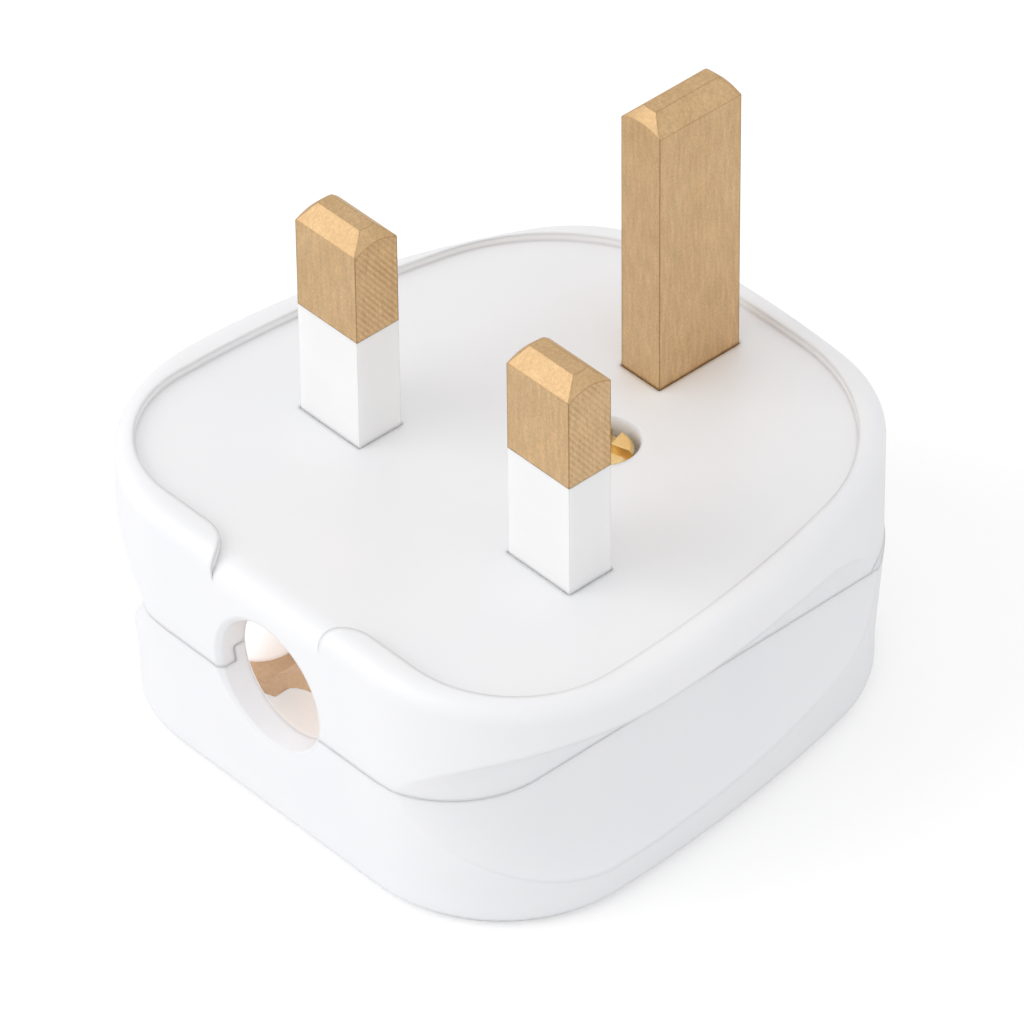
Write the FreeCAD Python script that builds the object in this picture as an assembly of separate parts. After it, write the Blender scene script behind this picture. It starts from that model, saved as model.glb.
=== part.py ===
import FreeCAD, Part
import math
import os

V = FreeCAD.Vector

# Three pin mains plug, rewirable, lying on its cover with the pins up.
# Origin: middle of the cover's back face. +Z is the way the pins point, +Y is the earth pin's side.

# Moulded body
body_depth = 21.0            # back of the cover to the floor of the pin face
rim_height = 0.65            # raised rim above that floor
parting_height = 11.3        # where base and cover meet
front_y = -24.75             # flat end with the cord entry
rear_y = 24.75
face_half_width = 25.4
face_corner_r = 14.4
face_flank_r = 60.0
face_shoulder_r = 13.0
face_end_r = 94.0
rim_edge_r = 1.5
rim_front_width = 2.4
rim_side_width = 2.55
rim_rear_width = 2.05
recess_corner_r = 9.6
recess_flank_r = 100.0
recess_shoulder_r = 15.5
recess_end_r = 200.0

# Cover
cover_half_width = 22.9
cover_corner_r = 12.3
cover_flank_r = 120.0
cover_shoulder_r = 14.6
cover_end_r = 110.0
cover_draft = 0.6            # how far the wall leans in from the joint to the band
cover_band_height = 2.8      # upright band next to the back face
cover_bevel = 0.7            # along the edge of the back face

# Finger grips, one groove down each side that turns round the front corner
grip_half_width = 19.0
grip_radius = 8.7
grip_height = 10.3
grip_corner_r = 8.9
grip_runout = 0.3            # how far past the front face the groove's bottom line passes

# Walls and the joint between the mouldings
floor_thickness = 3.0
back_thickness = 2.0
flank_wall = 2.2
front_wall = 2.5
rear_wall = 2.3
cavity_corner_r = 6.7
cavity_flank_r = 300.0
cavity_shoulder_r = 8.0
cavity_end_r = 90.0
tongue_thickness = 1.0
tongue_height = 1.2
joint_gap = 0.1

# Cord entry
entry_height = 12.7
entry_r = 5.2
entry_bevel = 0.4
rim_mouth_half_width = 5.6   # gap in the rim over the cord entry
rim_nose_r = 3.0
mouth_edge_r = 2.0

# Pins
earth_y = 15.55
pin_drop = 22.2              # earth pin to the line of the other two
pin_spacing = 22.2
line_pin_width = 6.35
earth_pin_width = 7.95
pin_thickness = 4.0
line_pin_length = 17.95      # beyond the rim
earth_pin_length = 23.4
pin_tip_rise = 1.35          # height of the bevels on the broad faces
pin_tip_flat = 1.3           # what they leave of the thickness
pin_end_cut = 0.85           # how far the turned bevel takes the narrow ends in, at 45 degrees
pin_gap = 0.1                # slot in the base around a pin
sleeve_height = 9.6          # top of the sleeve above the floor
sleeve_wall = 0.6
sleeve_root = 2.0            # how deep the sleeve runs into the base

# Pillar terminals
pillar_depth = 8.0
neutral_pillar = (8.0, 7.4)
earth_pillar = (7.2, 9.0)
live_pillar = (6.0, 6.2)
live_pillar_centre = (-4.6, 5.8)
live_pad_edge = -5.2         # right-hand edge of the strip from the pillar to the fuse
pad_depth = 3.0
wire_hole_r = 1.6
wire_hole_depth = 3.4
terminal_screw_r = 1.7
terminal_screw_reach = 3.6
terminal_head_r = 2.4
terminal_head_height = 1.8
screw_slot_width = 0.9
screw_slot_depth = 0.8

# Fuse and its clips
fuse_x = -11.4
fuse_length = 25.4
fuse_r = 3.175
fuse_overhang = 3.8          # from the middle of the live pin to the end of the fuse
fuse_cap_length = 6.0
fuse_cap_wall = 0.35
fuse_bore_r = 1.4
fuse_wire_r = 0.25
fuse_clearance = 0.4         # round the fuse and its clips, where the walls are relieved for them
clip_thickness = 0.6
clip_length = 5.6
clip_back = 4.0              # fuse axis to the inner face of the clip's back
clip_wrap = 48.0             # how far the arms follow the fuse below its axis, degrees
clip_bend_r = 1.0
clip_lip = 0.9
rivet_r = 1.1
rivet_head_r = 1.9
rivet_head_height = 0.45
rivet_depth = 2.4            # how far the rivet reaches into the brass
live_head = (7.4, 7.0)

# Cord clamp
clamp_y = -16.2
clamp_width = 6.6
clamp_thickness = 1.2
clamp_rise = 3.7
clamp_seat_height = 6.0
clamp_arch_half = 6.4
clamp_foot_run = 0.6         # slope from the arch's foot down to the flat end
clamp_half_length = 14.2
clamp_corner_r = 1.5
clamp_screw_x = 11.0
clamp_post_r = 3.2
clamp_screw_r = 1.45
clamp_screw_reach = 7.0
clamp_head_r = 2.7
clamp_head_height = 1.6

# Screw that holds the cover
cover_screw_x = 3.4
cover_screw_y = 4.65
cover_screw_r = 1.4
cover_head_r = 2.3
cover_head_height = 1.8
cover_head_sink = 0.4
cover_head_edge = 0.3
cross_slot_width = 0.9
cross_slot_depth = 0.9
cross_slot_turn = 17.0
cover_well_r = 2.8
cover_screw_length = 12.6
screw_hole_floor = 0.5       # left between the screw's hole and the cover's inner face
cover_boss_r = 4.4
base_boss_height = 12.3
retainer_r = 3.2
retainer_thickness = 0.8
nut_flats = 5.4
nut_height = 5.0
nut_sink = 0.4
nut_gap = 0.05

# Ribs
rib_thickness = 1.1
rib_gap = 0.2
rib_depth = 5.0
rest_width = 1.4             # post in the cover under the live strip
rest_length = 3.0
live_rest_y = 11.4

face_z = body_depth
rim_z = body_depth + rim_height
floor_z = body_depth - floor_thickness
line_pin_y = earth_y - pin_drop
neutral_x = pin_spacing / 2
live_x = -pin_spacing / 2
pillar_z = floor_z - pillar_depth
pad_z = floor_z - pad_depth
fuse_z = pad_z - clip_thickness - clip_back
fuse_front = line_pin_y - fuse_overhang
fuse_rear = fuse_front + fuse_length
beyond = 60.0                # longer than the plug in any direction


def box(x0, x1, y0, y1, z0, z1):
    return Part.makeBox(x1 - x0, y1 - y0, z1 - z0, V(x0, y0, z0))


def box_at(cx, cy, size, z0, z1):
    return box(cx - size[0] / 2, cx + size[0] / 2, cy - size[1] / 2, cy + size[1] / 2, z0, z1)


def rod(x, y, z0, z1, r):
    return Part.makeCylinder(r, z1 - z0, V(x, y, z0))


def arc_between(centre, r, start, end, z):
    points = []
    for angle in (start, (start + end) / 2, end):
        points.append(V(centre[0] + r * math.cos(angle), centre[1] + r * math.sin(angle), z))
    return Part.Arc(points[0], points[1], points[2]).toShape()


def outline(half_width, front, rear, corner_r, flank_r, shoulder_r, end_r, z):
    """Closed outline: flat front, round corners, bowed flanks, shoulders and a bowed rear end."""
    corner = (half_width - corner_r, front + corner_r)
    flank = (half_width - flank_r, front + corner_r)
    end = (0.0, rear - end_r)
    to_flank = flank_r - shoulder_r
    to_end = end_r - shoulder_r
    dx = end[0] - flank[0]
    dy = end[1] - flank[1]
    span = math.hypot(dx, dy)
    along = (to_flank ** 2 - to_end ** 2 + span ** 2) / (2 * span)
    across = math.sqrt(to_flank ** 2 - along ** 2)
    choices = []
    for side in (1, -1):
        x = flank[0] + (along * dx - side * across * dy) / span
        y = flank[1] + (along * dy + side * across * dx) / span
        choices.append((x, y))
    shoulder = max(choices, key=lambda c: c[0] + c[1])
    flank_turn = math.atan2(shoulder[1] - flank[1], shoulder[0] - flank[0])
    end_turn = math.atan2(shoulder[1] - end[1], shoulder[0] - end[0])
    right = [
        arc_between(corner, corner_r, -math.pi / 2, 0.0, z),
        arc_between(flank, flank_r, 0.0, flank_turn, z),
        arc_between(shoulder, shoulder_r, flank_turn, end_turn, z),
    ]
    edges = [Part.makeLine(V(-corner[0], front, z), V(corner[0], front, z))]
    edges.extend(right)
    edges.append(arc_between(end, end_r, end_turn, math.pi - end_turn, z))
    for edge in reversed(right):
        edges.append(edge.mirror(V(0, 0, 0), V(1, 0, 0)))
    return Part.Wire(Part.__sortEdges__(edges))


def prism(wire, height):
    return Part.Face(wire).extrude(V(0, 0, height))


def face_outline(z):
    return outline(face_half_width, front_y, rear_y,
                   face_corner_r, face_flank_r, face_shoulder_r, face_end_r, z)


def cover_outline(z, grow):
    return outline(cover_half_width + grow, front_y + cover_draft - grow, rear_y - cover_draft + grow,
                   cover_corner_r + grow, cover_flank_r + grow, cover_shoulder_r + grow, cover_end_r + grow, z)


def cavity_outline(z, grow):
    return outline(grip_half_width - flank_wall + grow, front_y + front_wall - grow, rear_y - rear_wall + grow,
                   cavity_corner_r + grow, cavity_flank_r + grow, cavity_shoulder_r + grow, cavity_end_r + grow, z)


def grip_cutters():
    """The finger groove: a round-bottomed channel along the flank, swept round the front corner."""
    centre_x = grip_half_width + grip_radius
    corner_x = grip_half_width - grip_corner_r
    corner_y = front_y - grip_runout + grip_corner_r
    circle = Part.Wire(Part.makeCircle(grip_radius, V(centre_x, corner_y, grip_height), V(0, 1, 0)))
    straight = Part.Face(circle).extrude(V(0, beyond, 0))
    bend = Part.Face(circle).revolve(V(corner_x, corner_y, 0), V(0, 0, 1), -90)
    right = straight.fuse(bend)
    return [right, right.mirror(V(0, 0, 0), V(1, 0, 0))]


def entry_cutter():
    """Round cord entry, bevelled at the front face."""
    start = V(0, front_y - 1, entry_height)
    bore = Part.makeCylinder(entry_r, 2 * front_wall + 1, start, V(0, 1, 0))
    bevel = Part.makeCone(entry_r + entry_bevel + 1, entry_r, entry_bevel + 1, start, V(0, 1, 0))
    return bore.fuse(bevel)


def rim_mouth(z0, z1):
    """Plan shape of the gap in the rim: its noses curve out to the front edge."""
    inner = front_y + rim_front_width
    turn = inner - rim_nose_r
    outer = rim_mouth_half_width + rim_nose_r
    mid = rim_nose_r * math.sqrt(0.5)
    nose_mid = V(outer - mid, turn + mid, z0)
    arc_right = Part.Arc(V(outer, inner, z0), nose_mid, V(rim_mouth_half_width, turn, z0))
    edges = [
        Part.makeLine(V(-outer, inner, z0), V(-outer, inner + 1, z0)),
        Part.makeLine(V(-outer, inner + 1, z0), V(outer, inner + 1, z0)),
        Part.makeLine(V(outer, inner + 1, z0), V(outer, inner, z0)),
        arc_right.toShape(),
        Part.makeLine(V(rim_mouth_half_width, turn, z0), V(rim_mouth_half_width, turn - 2, z0)),
        Part.makeLine(V(rim_mouth_half_width, turn - 2, z0), V(-rim_mouth_half_width, turn - 2, z0)),
        Part.makeLine(V(-rim_mouth_half_width, turn - 2, z0), V(-rim_mouth_half_width, turn, z0)),
        arc_right.toShape().mirror(V(0, 0, 0), V(1, 0, 0)),
    ]
    return Part.Face(Part.Wire(Part.__sortEdges__(edges))).extrude(V(0, 0, z1 - z0))


def mouth_rounding():
    """Removes the front edge under the gap in the rim, so the floor rolls over into the front face."""
    r = mouth_edge_r
    mid = r * (1 - math.sqrt(0.5))
    x = -face_half_width
    arc_mid = V(x, front_y + mid, face_z - mid)
    edges = [
        Part.makeLine(V(x, front_y - 1, face_z - r), V(x, front_y, face_z - r)),
        Part.Arc(V(x, front_y, face_z - r), arc_mid, V(x, front_y + r, face_z)).toShape(),
        Part.makeLine(V(x, front_y + r, face_z), V(x, front_y + r, rim_z + 1)),
        Part.makeLine(V(x, front_y + r, rim_z + 1), V(x, front_y - 1, rim_z + 1)),
        Part.makeLine(V(x, front_y - 1, rim_z + 1), V(x, front_y - 1, face_z - r)),
    ]
    sweep = Part.Face(Part.Wire(edges)).extrude(V(2 * face_half_width, 0, 0))
    return sweep.common(rim_mouth(face_z - r - 1, rim_z + 2))


def pocket(cx, cy, size, z0, z1):
    """Upright wall round a terminal, left open at the front where the wire comes in."""
    gap = rib_gap
    inner = box_at(cx, cy, (size[0] + 2 * gap, size[1] + 2 * gap), z0 - 1, z1 + 1)
    outer = box_at(cx, cy, (size[0] + 2 * (gap + rib_thickness), size[1] + 2 * (gap + rib_thickness)), z0, z1)
    ring = outer.cut(inner)
    half = size[0] / 2 - rib_thickness
    gate = box(cx - half, cx + half, cy - size[1] / 2 - gap - rib_thickness - 1, cy, z0 - 1, z1 + 1)
    return ring.cut(gate)


def fuse_room():
    """Space that the fuse and its clips need in both mouldings."""
    half = fuse_r + clip_thickness + fuse_clearance
    return box(fuse_x - half, fuse_x + half, fuse_front - fuse_clearance, fuse_rear + fuse_clearance,
               fuse_z - half, floor_z)


def hex_prism(x, y, z0, z1, flats):
    radius = flats / math.sqrt(3)
    points = []
    for step in range(7):
        angle = math.radians(60 * step)
        points.append(V(x + radius * math.cos(angle), y + radius * math.sin(angle), z0))
    return Part.Face(Part.makePolygon(points)).extrude(V(0, 0, z1 - z0))


def base():
    top = prism(face_outline(parting_height), rim_z - parting_height)
    rim_edges = [e for e in top.Edges if e.BoundBox.ZMin > rim_z - 0.01]
    body = top.makeFillet(rim_edge_r, rim_edges)
    inside_rim = outline(face_half_width - rim_side_width, front_y + rim_front_width, rear_y - rim_rear_width,
                         recess_corner_r, recess_flank_r, recess_shoulder_r, recess_end_r, face_z)
    recess = prism(inside_rim, rim_height + 1)
    body = body.cut([recess.fuse(rim_mouth(face_z, rim_z + 1)), mouth_rounding()] + grip_cutters())
    body = body.cut(prism(cavity_outline(parting_height - 1, 0), floor_z - parting_height + 1))
    around_tongue = cavity_outline(parting_height - 1, tongue_thickness + joint_gap)
    rebate = prism(around_tongue, 1 + tongue_height + joint_gap)
    body = body.cut([rebate, fuse_room()])
    posts = []
    for side in (-1, 1):
        posts.append(rod(side * clamp_screw_x, clamp_y, clamp_seat_height, floor_z, clamp_post_r))
    posts.append(rod(cover_screw_x, cover_screw_y, base_boss_height, floor_z, cover_boss_r))
    rib_z = floor_z - rib_depth
    posts.append(pocket(neutral_x, line_pin_y, neutral_pillar, rib_z, floor_z))
    posts.append(pocket(0.0, earth_y, earth_pillar, rib_z, floor_z))
    body = body.fuse(posts)
    cuts = [entry_cutter()]
    for side in (-1, 1):
        cuts.append(rod(side * clamp_screw_x, clamp_y, clamp_seat_height - 1,
                        clamp_seat_height + clamp_screw_reach + 1, clamp_screw_r))
    seat_z = face_z - cover_head_sink - cover_head_height
    cuts.append(rod(cover_screw_x, cover_screw_y, seat_z, rim_z + 1, cover_well_r))
    cuts.append(rod(cover_screw_x, cover_screw_y, base_boss_height - 1, rim_z + 1, cover_screw_r + joint_gap))
    slot = 2 * pin_gap
    for x in (live_x, neutral_x):
        size = (line_pin_width + slot, pin_thickness + slot)
        cuts.append(box_at(x, line_pin_y, size, floor_z - 1, rim_z + 1))
    cuts.append(box_at(0, earth_y, (pin_thickness + slot, earth_pin_width + slot), floor_z - 1, rim_z + 1))
    return body.cut(cuts).removeSplitter()


def cover():
    wall = Part.makeLoft([cover_outline(cover_band_height, 0), cover_outline(parting_height, cover_draft)],
                         True, True)
    band = prism(cover_outline(0, 0), cover_band_height)
    back_edges = [e for e in band.Edges if e.BoundBox.ZMax < 0.01]
    band = band.makeChamfer(cover_bevel, back_edges)
    body = wall.fuse(band).cut(grip_cutters())
    body = body.cut(prism(cavity_outline(back_thickness, 0), parting_height))
    tongue = prism(cavity_outline(parting_height - 1, tongue_thickness), tongue_height + 1)
    tongue = tongue.cut(prism(cavity_outline(parting_height - 2, 0), tongue_height + 3))
    parts = [tongue, rod(cover_screw_x, cover_screw_y, back_thickness, parting_height, cover_boss_r)]
    for x, y, size in ((neutral_x, line_pin_y, neutral_pillar), (0.0, earth_y, earth_pillar)):
        for side in (-1, 1):
            rib_x = x + side * (size[0] / 2 - rib_thickness / 2)
            parts.append(box_at(rib_x, y, (rib_thickness, size[1]), back_thickness, pillar_z - joint_gap))
    parts.append(box(live_pad_edge - rib_gap - rest_width, live_pad_edge - rib_gap, live_rest_y,
                     live_rest_y + rest_length, back_thickness, pad_z - joint_gap))
    body = body.fuse(parts).cut(fuse_room())
    nut_z = parting_height - nut_sink - nut_height
    hole_z = back_thickness + screw_hole_floor
    cuts = [
        entry_cutter(),
        hex_prism(cover_screw_x, cover_screw_y, nut_z, parting_height + 2, nut_flats),
        rod(cover_screw_x, cover_screw_y, hole_z, parting_height + 2, cover_screw_r + joint_gap),
    ]
    return body.cut(cuts).removeSplitter()


def pin_blade(cx, cy, sx, sy, z0, tip_z):
    """Rectangular blade, bevelled on its broad faces and turned to a cone at its narrow ends."""
    half = pin_thickness / 2
    flat = pin_tip_flat / 2
    shoulder = tip_z - pin_tip_rise
    long = max(sx, sy)
    profile = [(-half, z0), (half, z0), (half, shoulder), (flat, tip_z),
               (-flat, tip_z), (-half, shoulder), (-half, z0)]
    if sx > sy:
        points = [V(cx - long / 2, cy + across, z) for across, z in profile]
        blade = Part.Face(Part.makePolygon(points)).extrude(V(long, 0, 0))
    else:
        points = [V(cx + across, cy - long / 2, z) for across, z in profile]
        blade = Part.Face(Part.makePolygon(points)).extrude(V(0, long, 0))
    tip_r = long / 2 - pin_end_cut
    height = tip_z - z0
    return blade.common(Part.makeCone(tip_r + height, tip_r, height, V(cx, cy, z0)))


def pillar_holes(cx, cy, size):
    """Cross hole for the wire and the tapped hole that meets it from below."""
    wire_z = floor_z - wire_hole_depth
    wire = Part.makeCylinder(wire_hole_r, size[1] + 2, V(cx, cy - size[1] / 2 - 1, wire_z), V(0, 1, 0))
    return [wire, rod(cx, cy, pillar_z - 1, wire_z, terminal_screw_r)]


def drilled_pillar(cx, cy, size):
    return box_at(cx, cy, size, pillar_z, floor_z).cut(pillar_holes(cx, cy, size))


def sleeved_blade(cx):
    sleeve_top = face_z + sleeve_height
    sleeve_foot = face_z - sleeve_root
    tip_z = rim_z + line_pin_length
    inner = 2 * sleeve_wall
    tip = pin_blade(cx, line_pin_y, line_pin_width, pin_thickness, sleeve_top, tip_z)
    neck = box_at(cx, line_pin_y, (line_pin_width - inner, pin_thickness - inner), sleeve_foot, sleeve_top)
    root = box_at(cx, line_pin_y, (line_pin_width, pin_thickness), floor_z, sleeve_foot)
    return tip.fuse([neck, root])


def sleeve(cx):
    z0 = face_z - sleeve_root
    z1 = face_z + sleeve_height
    inner = 2 * sleeve_wall
    outer = box_at(cx, line_pin_y, (line_pin_width, pin_thickness), z0, z1)
    return outer.cut(box_at(cx, line_pin_y, (line_pin_width - inner, pin_thickness - inner), z0 - 1, z1 + 1))


def neutral_pin():
    pillar = drilled_pillar(neutral_x, line_pin_y, neutral_pillar)
    return sleeved_blade(neutral_x).fuse(pillar).removeSplitter()


def earth_pin():
    blade = pin_blade(0, earth_y, pin_thickness, earth_pin_width, floor_z, rim_z + earth_pin_length)
    return blade.fuse(drilled_pillar(0, earth_y, earth_pillar)).removeSplitter()


def live_pin():
    head = box(fuse_x - live_head[0] / 2, live_x + live_head[0] / 2,
               line_pin_y - live_head[1] / 2, line_pin_y + live_head[1] / 2, pad_z, floor_z)
    clip_y = fuse_front + fuse_cap_length / 2
    hole = rod(fuse_x, clip_y, pad_z - 1, pad_z + rivet_depth, rivet_r)
    return sleeved_blade(live_x).fuse(head).cut(hole).removeSplitter()


def live_terminal():
    clip_y = fuse_rear - fuse_cap_length / 2
    px, py = live_pillar_centre
    pad = box(fuse_x - live_head[0] / 2, live_pad_edge, py, clip_y + clip_length / 2, pad_z, floor_z)
    pillar = box_at(px, py, live_pillar, pillar_z, floor_z)
    holes = pillar_holes(px, py, live_pillar)
    holes.append(rod(fuse_x, clip_y, pad_z - 1, pad_z + rivet_depth, rivet_r))
    return pad.fuse(pillar).cut(holes).removeSplitter()


def slotted_screw(x, y, head_z, head_r, head_height, shank_r, reach):
    """Cheese-head screw that points up, with the slotted face of its head at head_z."""
    head = rod(x, y, head_z, head_z + head_height, head_r)
    shank = rod(x, y, head_z, head_z + head_height + reach, shank_r)
    slot = box(x - head_r - 1, x + head_r + 1, y - screw_slot_width / 2, y + screw_slot_width / 2,
               head_z - screw_slot_depth, head_z + screw_slot_depth)
    return head.fuse(shank).cut(slot).removeSplitter()


def terminal_screw(x, y):
    return slotted_screw(x, y, pillar_z - terminal_head_height, terminal_head_r, terminal_head_height,
                         terminal_screw_r, terminal_screw_reach)


def fuse_clip(centre_y):
    """Spring clip bent from strip: flat back, arms that follow the fuse, and lips that flare out."""
    wrap = math.radians(clip_wrap)
    y = centre_y - clip_length / 2
    back_z = fuse_z + clip_back
    bend = V(fuse_x + fuse_r - clip_bend_r, y, back_z - clip_bend_r)
    low = V(fuse_x + fuse_r * math.cos(wrap), y, fuse_z - fuse_r * math.sin(wrap))
    half = [
        Part.makeLine(V(low.x + clip_lip, y, low.z - clip_lip), low),
        Part.Arc(low, V(fuse_x + fuse_r * math.cos(wrap / 2), y, fuse_z - fuse_r * math.sin(wrap / 2)),
                 V(fuse_x + fuse_r, y, fuse_z)).toShape(),
        Part.makeLine(V(fuse_x + fuse_r, y, fuse_z), V(fuse_x + fuse_r, y, bend.z)),
        Part.Arc(V(fuse_x + fuse_r, y, bend.z),
                 V(bend.x + clip_bend_r * math.sqrt(0.5), y, bend.z + clip_bend_r * math.sqrt(0.5)),
                 V(bend.x, y, back_z)).toShape(),
        Part.makeLine(V(bend.x, y, back_z), V(fuse_x, y, back_z)),
    ]
    other = [edge.mirror(V(fuse_x, 0, 0), V(1, 0, 0)) for edge in half]
    inner_line = Part.Wire(Part.__sortEdges__(half + other))
    strip = inner_line.makeOffset2D(-clip_thickness, 0, True, True)
    clip = strip.extrude(V(0, clip_length, 0))
    return clip.cut(rod(fuse_x, centre_y, fuse_z, back_z + 2 * clip_thickness, rivet_r))


def clip_rivet(centre_y):
    back_z = fuse_z + clip_back
    top = pad_z + rivet_depth
    return rod(fuse_x, centre_y, back_z - rivet_head_height, back_z, rivet_head_r).fuse(
        rod(fuse_x, centre_y, back_z, top, rivet_r)).removeSplitter()


def fuse_cap(y0, closed_side):
    """Drawn cap pressed over the end of the barrel."""
    cap = Part.makeCylinder(fuse_r, fuse_cap_length, V(fuse_x, y0, fuse_z), V(0, 1, 0))
    shift = 0.0 if closed_side > 0 else fuse_cap_wall
    hollow = Part.makeCylinder(fuse_r - fuse_cap_wall, fuse_cap_length - fuse_cap_wall,
                               V(fuse_x, y0 + shift, fuse_z), V(0, 1, 0))
    return cap.cut(hollow)


def fuse_barrel():
    length = fuse_length - 2 * fuse_cap_wall
    start = V(fuse_x, fuse_front + fuse_cap_wall, fuse_z)
    tube = Part.makeCylinder(fuse_r - fuse_cap_wall, length, start, V(0, 1, 0))
    return tube.cut(Part.makeCylinder(fuse_bore_r, length, start, V(0, 1, 0)))


def fuse_wire():
    start = V(fuse_x, fuse_front + fuse_cap_wall, fuse_z)
    return Part.makeCylinder(fuse_wire_r, fuse_length - 2 * fuse_cap_wall, start, V(0, 1, 0))


def cord_clamp():
    """Fibre strip: two flat ends under the screws and an arch that rises into the cord's way."""
    half = clamp_arch_half
    arch_r = (half ** 2 + clamp_rise ** 2) / (2 * clamp_rise)
    sweep = math.asin(half / arch_r)
    top = clamp_seat_height
    y = clamp_y - clamp_width / 2
    centre_z = top + clamp_rise - arch_r
    edges = []
    for r, level in ((arch_r, top), (arch_r - clamp_thickness, top - clamp_thickness)):
        foot = r * math.sin(sweep)
        foot_z = centre_z + r * math.cos(sweep)
        edges.append(Part.Arc(V(-foot, y, foot_z), V(0, y, centre_z + r), V(foot, y, foot_z)).toShape())
        for side in (-1, 1):
            seat_start = V(side * (half + clamp_foot_run), y, level)
            edges.append(Part.makeLine(V(side * foot, y, foot_z), seat_start))
            edges.append(Part.makeLine(seat_start, V(side * clamp_half_length, y, level)))
    for side in (-1, 1):
        edges.append(Part.makeLine(V(side * clamp_half_length, y, top),
                                   V(side * clamp_half_length, y, top - clamp_thickness)))
    strip = Part.Face(Part.Wire(Part.__sortEdges__(edges))).extrude(V(0, clamp_width, 0))
    corners = []
    for edge in strip.Edges:
        at = edge.CenterOfMass
        if abs(abs(at.x) - clamp_half_length) < 0.01 and edge.BoundBox.ZLength > clamp_thickness / 2:
            corners.append(edge)
    strip = strip.makeFillet(clamp_corner_r, corners)
    holes = []
    for side in (-1, 1):
        holes.append(rod(side * clamp_screw_x, clamp_y, 0, top + 1, clamp_screw_r + joint_gap))
    return strip.cut(holes)


def clamp_screw(side):
    head_z = clamp_seat_height - clamp_thickness - clamp_head_height
    return slotted_screw(side * clamp_screw_x, clamp_y, head_z,
                         clamp_head_r, clamp_head_height, clamp_screw_r, clamp_thickness + clamp_screw_reach)


def cover_screw():
    """Screw with a crossed slot, its head sunk in the well of the pin face."""
    top = face_z - cover_head_sink
    head = rod(cover_screw_x, cover_screw_y, top - cover_head_height, top, cover_head_r)
    head = head.makeChamfer(cover_head_edge, [e for e in head.Edges if e.BoundBox.ZMin > top - 0.01])
    shank = rod(cover_screw_x, cover_screw_y, top - cover_head_height - cover_screw_length,
                top - cross_slot_depth, cover_screw_r)
    cross = []
    for turn in (cross_slot_turn, cross_slot_turn + 90):
        arm = box(-cover_head_r - 1, cover_head_r + 1, -cross_slot_width / 2, cross_slot_width / 2,
                  top - cross_slot_depth, top + 1)
        arm.rotate(V(0, 0, 0), V(0, 0, 1), turn)
        arm.translate(V(cover_screw_x, cover_screw_y, 0))
        cross.append(arm)
    return head.fuse(shank).cut(cross).removeSplitter()


def screw_retainer():
    z0 = base_boss_height - retainer_thickness
    washer = rod(cover_screw_x, cover_screw_y, z0, base_boss_height, retainer_r)
    return washer.cut(rod(cover_screw_x, cover_screw_y, 0, beyond, cover_screw_r))


def cover_nut():
    z1 = parting_height - nut_sink
    nut = hex_prism(cover_screw_x, cover_screw_y, z1 - nut_height, z1, nut_flats - 2 * nut_gap)
    return nut.cut(rod(cover_screw_x, cover_screw_y, 0, beyond, cover_screw_r))


def build():
    front_clip_y = fuse_front + fuse_cap_length / 2
    rear_clip_y = fuse_rear - fuse_cap_length / 2
    px, py = live_pillar_centre
    return {
        "base": base(),
        "cover": cover(),
        "earth_pin": earth_pin(),
        "neutral_pin": neutral_pin(),
        "live_pin": live_pin(),
        "neutral_sleeve": sleeve(neutral_x),
        "live_sleeve": sleeve(live_x),
        "live_terminal": live_terminal(),
        "earth_terminal_screw": terminal_screw(0.0, earth_y),
        "neutral_terminal_screw": terminal_screw(neutral_x, line_pin_y),
        "live_terminal_screw": terminal_screw(px, py),
        "pin_fuse_clip": fuse_clip(front_clip_y),
        "terminal_fuse_clip": fuse_clip(rear_clip_y),
        "pin_clip_rivet": clip_rivet(front_clip_y),
        "terminal_clip_rivet": clip_rivet(rear_clip_y),
        "fuse_cap_front": fuse_cap(fuse_front, -1),
        "fuse_cap_rear": fuse_cap(fuse_rear - fuse_cap_length, 1),
        "fuse_barrel": fuse_barrel(),
        "fuse_wire": fuse_wire(),
        "cord_clamp": cord_clamp(),
        "cord_clamp_screw_left": clamp_screw(-1),
        "cord_clamp_screw_right": clamp_screw(1),
        "cover_screw": cover_screw(),
        "screw_retainer": screw_retainer(),
        "cover_nut": cover_nut(),
    }


if __name__ == "__main__":
    os.makedirs("parts", exist_ok=True)
    for name, shape in build().items():
        shape.exportStep("parts/" + name + ".step")
        state = "valid" if shape.isValid() else "NOT VALID"
        print(name, state, len(shape.Solids), "solid", round(shape.Volume, 1))
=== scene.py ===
import bpy
import math
from mathutils import Matrix, Vector

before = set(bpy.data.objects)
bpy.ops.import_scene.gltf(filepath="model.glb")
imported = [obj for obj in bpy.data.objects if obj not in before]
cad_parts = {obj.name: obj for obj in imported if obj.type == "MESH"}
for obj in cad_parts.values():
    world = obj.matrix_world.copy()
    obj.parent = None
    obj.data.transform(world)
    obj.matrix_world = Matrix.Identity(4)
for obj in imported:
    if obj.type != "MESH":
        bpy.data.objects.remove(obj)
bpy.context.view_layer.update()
print("frame loaded:", len(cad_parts), "CAD nodes")

mm = 0.001


def linearColour(hexText, alpha=1.0):
    # sRGB hex to the linear values that the shaders work in
    channels = []
    for start in (1, 3, 5):
        value = int(hexText[start:start + 2], 16) / 255
        channels.append(value / 12.92 if value <= 0.04045 else ((value + 0.055) / 1.055) ** 2.4)
    return (*channels, alpha)


def addNode(tree, kind, settings=None, links=None):
    # settings name a socket or a property, links name a socket and give what feeds it
    node = tree.nodes.new(kind)
    for key, value in (settings or {}).items():
        if isinstance(key, int) or key in node.inputs:
            node.inputs[key].default_value = value
        else:
            setattr(node, key, value)
    for key, source in (links or {}).items():
        tree.links.new(source, node.inputs[key])
    return node


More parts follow.
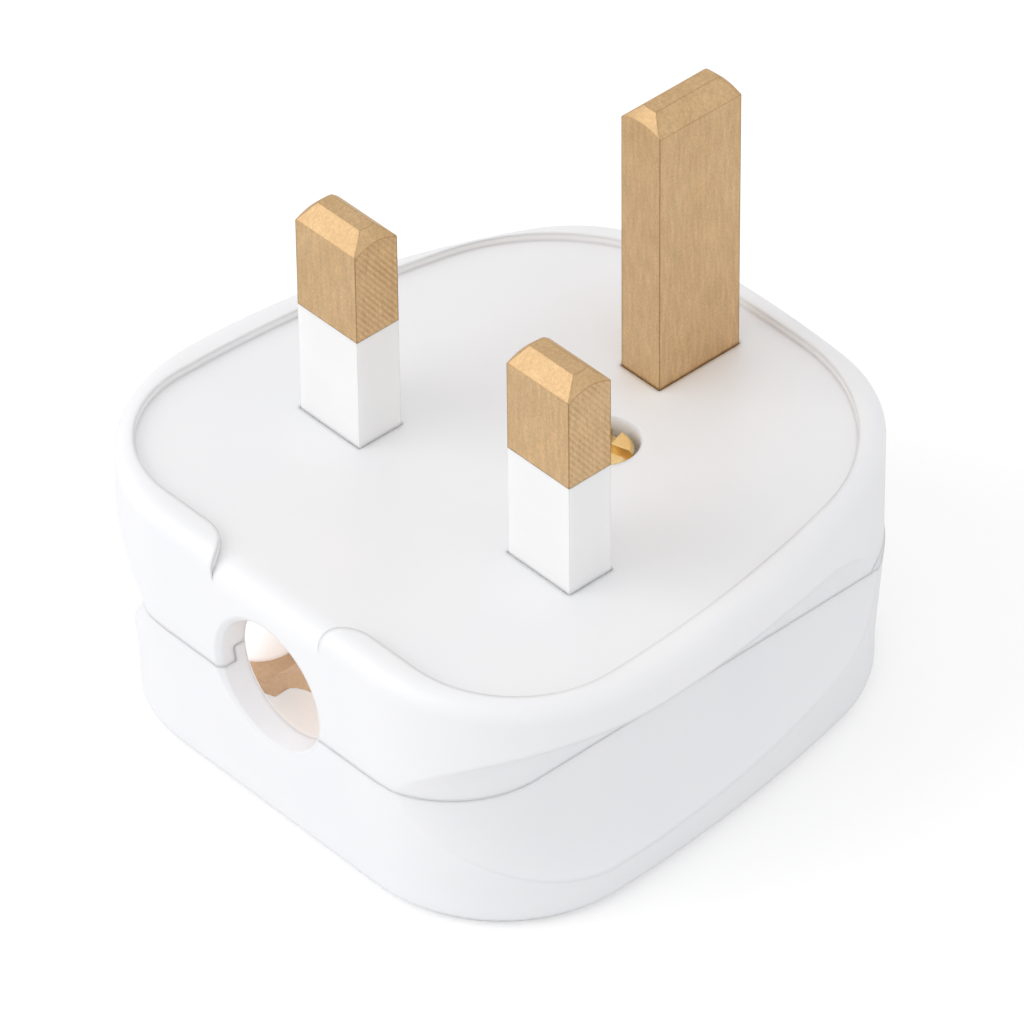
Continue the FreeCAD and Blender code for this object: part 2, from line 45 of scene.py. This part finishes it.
def newMaterial(name):
    material = bpy.data.materials.new(name)
    material.use_nodes = True
    material.node_tree.nodes.clear()
    return material, material.node_tree


def finishMaterial(tree, shader):
    addNode(tree, "ShaderNodeOutputMaterial", links={"Surface": shader.outputs["BSDF"]})


edgeShading = {
    "samples": 6,
    "flatFacing": 1.0,           # how far rounded and true normals agree on a flat face
    "edgeFacing": 0.8,           # and where the darker edge colour has taken over
}


def roundedNormals(tree, radius):
    # a shading radius on sharp edges
    return addNode(tree, "ShaderNodeBevel", {"samples": edgeShading["samples"], "Radius": radius})


def edgeMask(tree, bevel):
    # 1 on the edges that the rounded normals soften, 0 elsewhere
    geometry = addNode(tree, "ShaderNodeNewGeometry")
    facing = addNode(tree, "ShaderNodeVectorMath", {"operation": "DOT_PRODUCT"},
                     {0: bevel.outputs["Normal"], 1: geometry.outputs["Normal"]})
    return addNode(tree, "ShaderNodeMapRange",
                   {"From Min": edgeShading["flatFacing"], "From Max": edgeShading["edgeFacing"],
                    "To Min": 0.0, "To Max": 1.0}, {"Value": facing.outputs["Value"]})


# Body mouldings: urea formaldehyde, compression moulded in polished steel.
# Dense white with a slight bluish cast, satin gloss, faint flow clouds and a little light carried inside.
ureaMoulding = {
    "lightHex": "#F5F5F7",
    "shadeHex": "#F0F1F4",
    "cloudSize": 9 * mm,
    "ior": 1.55,
    "roughness": 0.36,
    "roughnessSpread": 0.05,
    "peelSize": 0.7 * mm,        # ripple left by the mould's polish
    "peelDepth": 0.0035 * mm,
    "edgeRadius": 0.6 * mm,
    "scatter": 0.2,
    "scatterTint": (1.0, 0.95, 0.9),
    "scatterDepth": 1.2 * mm,
    "hollowMiddle": (0.0, -8.1 * mm, 10.0 * mm),
    "hollowCore": (14.5 * mm, 11.9 * mm, 5.8 * mm),     # half sizes of a box inside the hollow
    "hollowReach": 2.3 * mm,     # from that box to just behind the walls' inner faces
    "hollowPaintedGlow": 0.36,          # stands in for daylight that reaches the hollow, set to match the photo
}


def makeUreaMoulding(look):
    material, tree = newMaterial("ureaMoulding")
    place = addNode(tree, "ShaderNodeTexCoord")
    cloud = addNode(tree, "ShaderNodeTexNoise",
                    {"Scale": 1 / look["cloudSize"], "Detail": 2.0, "Roughness": 0.4},
                    {"Vector": place.outputs["Object"]})
    colour = addNode(tree, "ShaderNodeMixRGB", {"Color1": linearColour(look["lightHex"]),
                                                "Color2": linearColour(look["shadeHex"])},
                     {"Fac": cloud.outputs["Fac"]})
    roughness = addNode(tree, "ShaderNodeMapRange", {"To Min": look["roughness"] - look["roughnessSpread"],
                                                     "To Max": look["roughness"] + look["roughnessSpread"]},
                        {"Value": cloud.outputs["Fac"]})
    bevel = roundedNormals(tree, look["edgeRadius"])
    peel = addNode(tree, "ShaderNodeTexNoise", {"Scale": 1 / look["peelSize"], "Detail": 2.0},
                   {"Vector": place.outputs["Object"]})
    bump = addNode(tree, "ShaderNodeBump", {"Strength": 1.0, "Distance": look["peelDepth"]},
                   {"Height": peel.outputs["Fac"], "Normal": bevel.outputs["Normal"]})

    # Painted light: a glow inside the hollow only, standing in for daylight, which shows through the cord's
    # hole
    middle = addNode(tree, "ShaderNodeVectorMath", {"operation": "SUBTRACT", 1: look["hollowMiddle"]},
                     {0: place.outputs["Object"]})
    aside = addNode(tree, "ShaderNodeVectorMath", {"operation": "ABSOLUTE"}, {0: middle.outputs["Vector"]})
    beyond = addNode(tree, "ShaderNodeVectorMath", {"operation": "SUBTRACT", 1: look["hollowCore"]},
                     {0: aside.outputs["Vector"]})
    outward = addNode(tree, "ShaderNodeVectorMath", {"operation": "MAXIMUM", 1: (0.0, 0.0, 0.0)},
                      {0: beyond.outputs["Vector"]})
    distance = addNode(tree, "ShaderNodeVectorMath", {"operation": "LENGTH"}, {0: outward.outputs["Vector"]})
    inside = addNode(tree, "ShaderNodeMath", {"operation": "LESS_THAN", 1: look["hollowReach"]},
                     {0: distance.outputs["Value"]})
    paintedHollowGlow = addNode(tree, "ShaderNodeMath", {"operation": "MULTIPLY", 1: look["hollowPaintedGlow"]},
                   {0: inside.outputs["Value"]})
    shader = addNode(tree, "ShaderNodeBsdfPrincipled",
                     {"IOR": look["ior"], "Subsurface Weight": look["scatter"],
                      "Subsurface Radius": look["scatterTint"], "Subsurface Scale": look["scatterDepth"],
                      # painted light: the hollow's white emission
                      "Emission Color": linearColour("#FFFFFF")},
                     {"Base Color": colour.outputs["Color"], "Roughness": roughness.outputs["Result"],
                      "Normal": bump.outputs["Normal"], "Emission Strength": paintedHollowGlow.outputs["Value"]})
    finishMaterial(tree, shader)
    return material


# Pin sleeves: nylon, injection moulded round the necks of the pins. Whiter than the body, softer gloss.
nylonSleeve = {
    "lightHex": "#F8F8F8",
    "shadeHex": "#F2F2F2",
    "cloudSize": 4 * mm,
    "ior": 1.53,
    "roughness": 0.42,
    "drawSize": 0.35 * mm,       # faint draw marks along the pin
    "drawLength": 6 * mm,
    "drawDepth": 0.002 * mm,
    "edgeRadius": 0.16 * mm,
    "scatter": 0.3,
    "scatterTint": (1.0, 1.0, 1.0),
    "scatterDepth": 0.8 * mm,
}


def makeNylonSleeve(look):
    material, tree = newMaterial("nylonSleeve")
    place = addNode(tree, "ShaderNodeTexCoord")
    cloud = addNode(tree, "ShaderNodeTexNoise", {"Scale": 1 / look["cloudSize"], "Detail": 1.0},
                    {"Vector": place.outputs["Object"]})
    colour = addNode(tree, "ShaderNodeMixRGB", {"Color1": linearColour(look["lightHex"]),
                                                "Color2": linearColour(look["shadeHex"])},
                     {"Fac": cloud.outputs["Fac"]})
    across = 1 / look["drawSize"]
    stretch = addNode(tree, "ShaderNodeMapping", {"Scale": (across, across, 1 / look["drawLength"])},
                      {"Vector": place.outputs["Object"]})
    marks = addNode(tree, "ShaderNodeTexNoise", {"Scale": 1.0, "Detail": 2.0},
                    {"Vector": stretch.outputs["Vector"]})
    bevel = roundedNormals(tree, look["edgeRadius"])
    bump = addNode(tree, "ShaderNodeBump", {"Strength": 1.0, "Distance": look["drawDepth"]},
                   {"Height": marks.outputs["Fac"], "Normal": bevel.outputs["Normal"]})
    shader = addNode(tree, "ShaderNodeBsdfPrincipled",
                     {"IOR": look["ior"], "Roughness": look["roughness"], "Subsurface Weight": look["scatter"],
                      "Subsurface Radius": look["scatterTint"], "Subsurface Scale": look["scatterDepth"]},
                     {"Base Color": colour.outputs["Color"], "Normal": bump.outputs["Normal"]})
    finishMaterial(tree, shader)
    return material


# Pins: free-cutting brass bar, drawn, then milled on the narrow sides and bevelled at the tip.
# Satin and warm, with draw streaks up the broad sides, slanting cutter marks on the narrow ones, faint tarnish.
milledBrass = {
    "lightHex": "#DFC094",
    "warmHex": "#D1AD80",
    "edgeHex": "#8F683C",
    "roughness": 0.45,
    "roughnessSpread": 0.08,
    "tarnishSize": 2.6 * mm,
    "grainSize": 0.2 * mm,
    "grainTone": (0.78, 1.18),   # darkest and lightest grain
    "upFacing": (0.15, 0.45),    # where the bevels and the tip begin, by how far a face looks up
    "tipPaintedShade": 0.87,            # painted shade on the bevels and the tip, to tone down their highlight; the cutter leaves them duller, which tipRoughness gives
    "tipRoughness": 0.08,
    "streakWidth": 0.34 * mm,
    "streakLength": 2.6 * mm,
    "streakDepth": 0.006 * mm,
    "streakTone": 0.55,
    "streakBase": 0.74,
    "millPitch": 0.38 * mm,
    "millLean": 53.0,            # degrees down from level
    "millDepth": 0.028 * mm,
    "millTone": 0.1,
    "millWaver": 3.0,            # radians that the streaks push the cutter marks about
    "millPatches": (0.35, 1.2),  # weakest and strongest marks, patch by patch
    "sideFacing": (0.9, 0.98),   # the marks stay on faces that look along the narrow axis
    "edgeRadius": 0.18 * mm,
}


def makeMilledBrass(name, look, narrowAxis, millStrength):
    # narrowAxis 0 has the cutter marks on the sides that face along X, 1 on those along Y
    material, tree = newMaterial(name)
    place = addNode(tree, "ShaderNodeTexCoord")
    geometry = addNode(tree, "ShaderNodeNewGeometry")
    tarnish = addNode(tree, "ShaderNodeTexNoise",
                      {"Scale": 1 / look["tarnishSize"], "Detail": 3.0, "Roughness": 0.6},
                      {"Vector": place.outputs["Object"]})
    grain = addNode(tree, "ShaderNodeTexNoise", {"Scale": 1 / look["grainSize"], "Detail": 2.0},
                    {"Vector": place.outputs["Object"]})
    across = 1 / look["streakWidth"]
    stretch = addNode(tree, "ShaderNodeMapping", {"Scale": (across, across, 1 / look["streakLength"])},
                      {"Vector": place.outputs["Object"]})
    streak = addNode(tree, "ShaderNodeTexNoise", {"Scale": 1.0, "Detail": 3.0, "Roughness": 0.65},
                     {"Vector": stretch.outputs["Vector"]})

    # Cutter marks: slanting lines, only where the surface faces along the narrow axis
    lean = math.radians(look["millLean"])
    level = (0.0, math.sin(lean), math.cos(lean)) if narrowAxis == 0 else (math.sin(lean), 0.0, math.cos(lean))
    along = addNode(tree, "ShaderNodeVectorMath", {"operation": "DOT_PRODUCT", 1: level},
                    {0: place.outputs["Object"]})
    phase = addNode(tree, "ShaderNodeMath", {"operation": "MULTIPLY", 1: 2 * math.pi / look["millPitch"]},
                    {0: along.outputs["Value"]})
    waver = addNode(tree, "ShaderNodeMath", {"operation": "MULTIPLY_ADD", 1: look["millWaver"]},
                    {0: streak.outputs["Fac"], 2: phase.outputs["Value"]})
    lines = addNode(tree, "ShaderNodeMath", {"operation": "SINE"}, {0: waver.outputs["Value"]})
    sides = addNode(tree, "ShaderNodeSeparateXYZ", links={"Vector": geometry.outputs["Normal"]})
    turned = addNode(tree, "ShaderNodeMath", {"operation": "ABSOLUTE"}, {0: sides.outputs[narrowAxis]})
    milled = addNode(tree, "ShaderNodeMapRange",
                     {"From Min": look["sideFacing"][0], "From Max": look["sideFacing"][1],
                      "To Min": 0.0, "To Max": millStrength}, {"Value": turned.outputs["Value"]})
    patches = addNode(tree, "ShaderNodeMapRange",
                      {"From Min": 0.35, "From Max": 0.65,
                       "To Min": look["millPatches"][0], "To Max": look["millPatches"][1]},
                      {"Value": tarnish.outputs["Fac"]})
    bitten = addNode(tree, "ShaderNodeMath", {"operation": "MULTIPLY"},
                     {0: lines.outputs["Value"], 1: patches.outputs["Result"]})
    marks = addNode(tree, "ShaderNodeMath", {"operation": "MULTIPLY"},
                    {0: bitten.outputs["Value"], 1: milled.outputs["Result"]})

    bevel = roundedNormals(tree, look["edgeRadius"])
    edge = edgeMask(tree, bevel)
    tone = addNode(tree, "ShaderNodeMixRGB", {"Color1": linearColour(look["lightHex"]),
                                              "Color2": linearColour(look["warmHex"])},
                   {"Fac": tarnish.outputs["Fac"]})
    grainTone = addNode(tree, "ShaderNodeMapRange",
                        {"To Min": look["grainTone"][0], "To Max": look["grainTone"][1]},
                        {"Value": grain.outputs["Fac"]})
    streakTone = addNode(tree, "ShaderNodeMath",
                         {"operation": "MULTIPLY_ADD", 1: look["streakTone"], 2: look["streakBase"]},
                         {0: streak.outputs["Fac"]})
    markTone = addNode(tree, "ShaderNodeMath", {"operation": "MULTIPLY_ADD", 1: look["millTone"]},
                       {0: marks.outputs["Value"], 2: streakTone.outputs["Value"]})
    shade = addNode(tree, "ShaderNodeMath", {"operation": "MULTIPLY"},
                    {0: grainTone.outputs["Result"], 1: markTone.outputs["Value"]})
    upMin, upMax = look["upFacing"]
    # painted shade: faces that look up, the bevels and the tip, are darkened
    tip = addNode(tree, "ShaderNodeMapRange",
                  {"From Min": upMin, "From Max": upMax, "To Min": 1.0, "To Max": look["tipPaintedShade"]},
                  {"Value": sides.outputs["Z"]})
    shaded = addNode(tree, "ShaderNodeMath", {"operation": "MULTIPLY"},
                     {0: shade.outputs["Value"], 1: tip.outputs["Result"]})
    body = addNode(tree, "ShaderNodeVectorMath", {"operation": "SCALE"},
                   {0: tone.outputs["Color"], "Scale": shaded.outputs["Value"]})
    # darker colour along the edges
    colour = addNode(tree, "ShaderNodeMixRGB", {"Color2": linearColour(look["edgeHex"])},
                     {"Fac": edge.outputs["Result"], "Color1": body.outputs["Vector"]})
    roughness = addNode(tree, "ShaderNodeMapRange", {"To Min": look["roughness"] - look["roughnessSpread"],
                                                     "To Max": look["roughness"] + look["roughnessSpread"]},
                        {"Value": streak.outputs["Fac"]})
    tipRough = addNode(tree, "ShaderNodeMapRange",
                       {"From Min": upMin, "From Max": upMax, "To Min": 0.0, "To Max": look["tipRoughness"]},
                       {"Value": sides.outputs["Z"]})
    finish = addNode(tree, "ShaderNodeMath", {"operation": "ADD"},
                     {0: roughness.outputs["Result"], 1: tipRough.outputs["Result"]})
    drawn = addNode(tree, "ShaderNodeBump", {"Strength": 1.0, "Distance": look["streakDepth"]},
                    {"Height": streak.outputs["Fac"], "Normal": bevel.outputs["Normal"]})
    bump = addNode(tree, "ShaderNodeBump", {"Strength": 1.0, "Distance": look["millDepth"]},
                   {"Height": marks.outputs["Value"], "Normal": drawn.outputs["Normal"]})
    shader = addNode(tree, "ShaderNodeBsdfPrincipled", {"Metallic": 1.0},
                     {"Base Color": colour.outputs["Color"], "Roughness": finish.outputs["Value"],
                      "Normal": bump.outputs["Normal"]})
    finishMaterial(tree, shader)
    return material


# Small metal pieces: turned, pressed or plated, each with its own tone and the marks of how it was made.
smallMetals = {
    "turnedBrass": {"lightHex": "#F3DCA6", "darkHex": "#DFBD80", "roughness": 0.38,
                    "markSize": 0.12 * mm, "markDepth": 0.004 * mm},
    "zincPlatedSteel": {"lightHex": "#C9CACB", "darkHex": "#A9ABAE", "roughness": 0.33,
                        "markSize": 0.4 * mm, "markDepth": 0.003 * mm},
    "tinnedBronze": {"lightHex": "#CFC6B4", "darkHex": "#B5A68A", "roughness": 0.3,
                     "markSize": 0.25 * mm, "markDepth": 0.002 * mm},
    "nickelPlatedCap": {"lightHex": "#D6D1C7", "darkHex": "#BDB7AB", "roughness": 0.24,
                        "markSize": 0.5 * mm, "markDepth": 0.002 * mm},
    "drawnFuseWire": {"lightHex": "#C4C2BE", "darkHex": "#A8A6A2", "roughness": 0.3,
                      "markSize": 0.08 * mm, "markDepth": 0.001 * mm},
}


smallMetalFinish = {
    "edgeRadius": 0.1 * mm,
    "smoother": 0.06,            # how far the marks vary the roughness, either way
    "rougher": 0.1,
}


def makeSmallMetal(name, look):
    material, tree = newMaterial(name)
    place = addNode(tree, "ShaderNodeTexCoord")
    marks = addNode(tree, "ShaderNodeTexNoise", {"Scale": 1 / look["markSize"], "Detail": 3.0},
                    {"Vector": place.outputs["Object"]})
    bevel = roundedNormals(tree, smallMetalFinish["edgeRadius"])
    tone = addNode(tree, "ShaderNodeMixRGB", {"Color1": linearColour(look["lightHex"]),
                                              "Color2": linearColour(look["darkHex"])},
                   {"Fac": marks.outputs["Fac"]})
    roughness = addNode(tree, "ShaderNodeMapRange", {"To Min": look["roughness"] - smallMetalFinish["smoother"],
                                                     "To Max": look["roughness"] + smallMetalFinish["rougher"]},
                        {"Value": marks.outputs["Fac"]})
    bump = addNode(tree, "ShaderNodeBump", {"Strength": 1.0, "Distance": look["markDepth"]},
                   {"Height": marks.outputs["Fac"], "Normal": bevel.outputs["Normal"]})
    shader = addNode(tree, "ShaderNodeBsdfPrincipled", {"Metallic": 1.0},
                     {"Base Color": tone.outputs["Color"], "Roughness": roughness.outputs["Result"],
                      "Normal": bump.outputs["Normal"]})
    finishMaterial(tree, shader)
    return material


# Dull dry pieces: vulcanised fibre pressed from cotton paper, and the fuse's fired steatite tube.
dryPieces = {
    "vulcanisedFibre": {"lightHex": "#D6B592", "darkHex": "#BD9672", "roughness": 0.75,
                        "grainSize": 0.5 * mm, "grainDepth": 0.02 * mm, "ior": 1.55},
    "redFibreWasher": {"lightHex": "#A8493A", "darkHex": "#8A3428", "roughness": 0.8,
                       "grainSize": 0.4 * mm, "grainDepth": 0.02 * mm, "ior": 1.55},
    "firedSteatite": {"lightHex": "#EFEAE0", "darkHex": "#E2DBCE", "roughness": 0.6,
                      "grainSize": 0.3 * mm, "grainDepth": 0.006 * mm, "ior": 1.6},
}


dryEdgeRadius = 0.12 * mm


def makeDryPiece(name, look):
    material, tree = newMaterial(name)
    place = addNode(tree, "ShaderNodeTexCoord")
    grain = addNode(tree, "ShaderNodeTexNoise",
                    {"Scale": 1 / look["grainSize"], "Detail": 4.0, "Roughness": 0.6},
                    {"Vector": place.outputs["Object"]})
    bevel = roundedNormals(tree, dryEdgeRadius)
    tone = addNode(tree, "ShaderNodeMixRGB", {"Color1": linearColour(look["lightHex"]),
                                              "Color2": linearColour(look["darkHex"])},
                   {"Fac": grain.outputs["Fac"]})
    bump = addNode(tree, "ShaderNodeBump", {"Strength": 1.0, "Distance": look["grainDepth"]},
                   {"Height": grain.outputs["Fac"], "Normal": bevel.outputs["Normal"]})
    shader = addNode(tree, "ShaderNodeBsdfPrincipled", {"IOR": look["ior"], "Roughness": look["roughness"]},
                     {"Base Color": tone.outputs["Color"], "Normal": bump.outputs["Normal"]})
    finishMaterial(tree, shader)
    return material


materials = {
    "ureaMoulding": makeUreaMoulding(ureaMoulding),
    "nylonSleeve": makeNylonSleeve(nylonSleeve),
    "linePinBrass": makeMilledBrass("linePinBrass", milledBrass, 0, 1.0),
    "earthPinBrass": makeMilledBrass("earthPinBrass", milledBrass, 1, 0.3),    # fainter marks
}
for name, look in smallMetals.items():
    materials[name] = makeSmallMetal(name, look)
for name, look in dryPieces.items():
    materials[name] = makeDryPiece(name, look)
print("materials made:", len(materials))

finishOf = {
    "base": "ureaMoulding",
    "cover": "ureaMoulding",
    "neutral_sleeve": "nylonSleeve",
    "live_sleeve": "nylonSleeve",
    "neutral_pin": "linePinBrass",
    "live_pin": "linePinBrass",
    "earth_pin": "earthPinBrass",
    "live_terminal": "linePinBrass",
    "cover_screw": "turnedBrass",
    "cover_nut": "turnedBrass",
    "pin_clip_rivet": "turnedBrass",
    "terminal_clip_rivet": "turnedBrass",
    "earth_terminal_screw": "zincPlatedSteel",
    "neutral_terminal_screw": "zincPlatedSteel",
    "live_terminal_screw": "zincPlatedSteel",
    "cord_clamp_screw_left": "zincPlatedSteel",
    "cord_clamp_screw_right": "zincPlatedSteel",
    "pin_fuse_clip": "tinnedBronze",
    "terminal_fuse_clip": "tinnedBronze",
    "fuse_cap_front": "nickelPlatedCap",
    "fuse_cap_rear": "nickelPlatedCap",
    "fuse_wire": "drawnFuseWire",
    "fuse_barrel": "firedSteatite",
    "cord_clamp": "vulcanisedFibre",
    "screw_retainer": "redFibreWasher",
}
for name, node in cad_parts.items():
    node.data.materials.clear()
    node.data.materials.append(materials[finishOf[name]])
print("finishes set on the CAD nodes")

# Floor, daylight and lamps
studio = {
    "floorHex": "#F4F4F4",
    "floorSize": 4.0,
    "floorDrop": 0.02 * mm,      # just under the cover's back, so that the two faces don't coincide
    "floorLift": 0.2,            # seen directly, the floor is this much brighter, so that it reads as white
    "skyStrength": 0.85,
    "skySeen": 1.0,              # white where the camera or the metal sees it
    "keyPlace": (-0.42, -0.72, 0.5),
    "keyWidth": 0.9,
    "keyWatts": 2.75,
    "fillPlace": (0.75, 0.25, 0.55),
    "fillWidth": 0.6,
    "fillWatts": 0.2,
    "aim": (0.0, 0.0, 0.015),
}


def makeFloor(look):
    size = look["floorSize"] / 2
    level = -look["floorDrop"]
    mesh = bpy.data.meshes.new("floor")
    corners = [(-size, -size, level), (size, -size, level), (size, size, level), (-size, size, level)]
    mesh.from_pydata(corners, [], [(0, 1, 2, 3)])
    floor = bpy.data.objects.new("floor", mesh)
    bpy.context.scene.collection.objects.link(floor)
    material, tree = newMaterial("paleFloor")
    diffuse = addNode(tree, "ShaderNodeBsdfDiffuse", {"Color": linearColour(look["floorHex"])})
    lift = addNode(tree, "ShaderNodeEmission", {"Strength": look["floorLift"]})
    both = addNode(tree, "ShaderNodeAddShader", links={0: diffuse.outputs["BSDF"], 1: lift.outputs["Emission"]})
    path = addNode(tree, "ShaderNodeLightPath")
    seen = addNode(tree, "ShaderNodeMixShader", links={"Fac": path.outputs["Is Camera Ray"],
                                                       1: diffuse.outputs["BSDF"], 2: both.outputs["Shader"]})
    addNode(tree, "ShaderNodeOutputMaterial", links={"Surface": seen.outputs["Shader"]})
    mesh.materials.append(material)
    return floor


def makeSky(look):
    world = bpy.data.worlds.new("studioSky")
    world.use_nodes = True
    tree = world.node_tree
    tree.nodes.clear()
    path = addNode(tree, "ShaderNodeLightPath")
    shown = addNode(tree, "ShaderNodeMath", {"operation": "MAXIMUM"},
                    {0: path.outputs["Is Camera Ray"], 1: path.outputs["Is Glossy Ray"]})
    direct = addNode(tree, "ShaderNodeMath", {"operation": "MAXIMUM"},
                     {0: shown.outputs["Value"], 1: path.outputs["Is Transmission Ray"]})
    strength = addNode(tree, "ShaderNodeMapRange", {"To Min": look["skyStrength"], "To Max": look["skySeen"]},
                       {"Value": direct.outputs["Value"]})
    sky = addNode(tree, "ShaderNodeBackground", {"Color": (1.0, 1.0, 1.0, 1.0)},
                  {"Strength": strength.outputs["Result"]})
    addNode(tree, "ShaderNodeOutputWorld", links={"Surface": sky.outputs["Background"]})
    bpy.context.scene.world = world


def makeLamp(name, place, width, watts, aim):
    lamp = bpy.data.lights.new(name, "AREA")
    lamp.shape = "DISK"
    lamp.size = width
    lamp.energy = watts
    holder = bpy.data.objects.new(name, lamp)
    holder.location = place
    holder.rotation_euler = (Vector(aim) - Vector(place)).to_track_quat("-Z", "Y").to_euler()
    bpy.context.scene.collection.objects.link(holder)


makeFloor(studio)
makeSky(studio)
makeLamp("keyLamp", studio["keyPlace"], studio["keyWidth"], studio["keyWatts"], studio["aim"])
makeLamp("fillLamp", studio["fillPlace"], studio["fillWidth"], studio["fillWatts"], studio["aim"])
print("floor, sky and lamps placed")

# Camera: the photograph's viewing angle, a long lens some 64 cm away
viewpoint = {
    "azimuth": 47.884,           # degrees round from looking along +Y
    "elevation": 39.891,
    "roll": -0.646,
    "target": (0.0, 4.55, 21.0),  # mm, on the floor of the pin face
    "offset": (-4.135, -6.667),   # mm, sideways and up in the picture
    "distance": 639.38,
    "lens": 311.87,
    "sensor": 36.0,
    "clip": (0.01, 20.0),
}


def placeCamera(look):
    azimuth = math.radians(look["azimuth"])
    elevation = math.radians(look["elevation"])
    roll = math.radians(look["roll"])
    right = Vector((math.cos(azimuth), math.sin(azimuth), 0.0))
    back = Vector((math.sin(azimuth) * math.cos(elevation), -math.cos(azimuth) * math.cos(elevation),
                   math.sin(elevation)))
    up = back.cross(right)
    across = right * math.cos(roll) + up * math.sin(roll)
    upward = up * math.cos(roll) - right * math.sin(roll)
    aside, above = look["offset"]
    place = Vector(look["target"]) + across * aside + upward * above + back * look["distance"]
    lens = bpy.data.cameras.new("photoCamera")
    lens.sensor_fit = "HORIZONTAL"
    lens.sensor_width = look["sensor"]
    lens.lens = look["lens"]
    lens.clip_start, lens.clip_end = look["clip"]
    camera = bpy.data.objects.new("photoCamera", lens)
    turn = Matrix((across, upward, back)).transposed().to_4x4()
    camera.matrix_world = Matrix.Translation(place * mm) @ turn
    bpy.context.scene.collection.objects.link(camera)
    bpy.context.scene.camera = camera


placeCamera(viewpoint)
bpy.context.scene.view_settings.view_transform = "Standard"
print("camera placed")
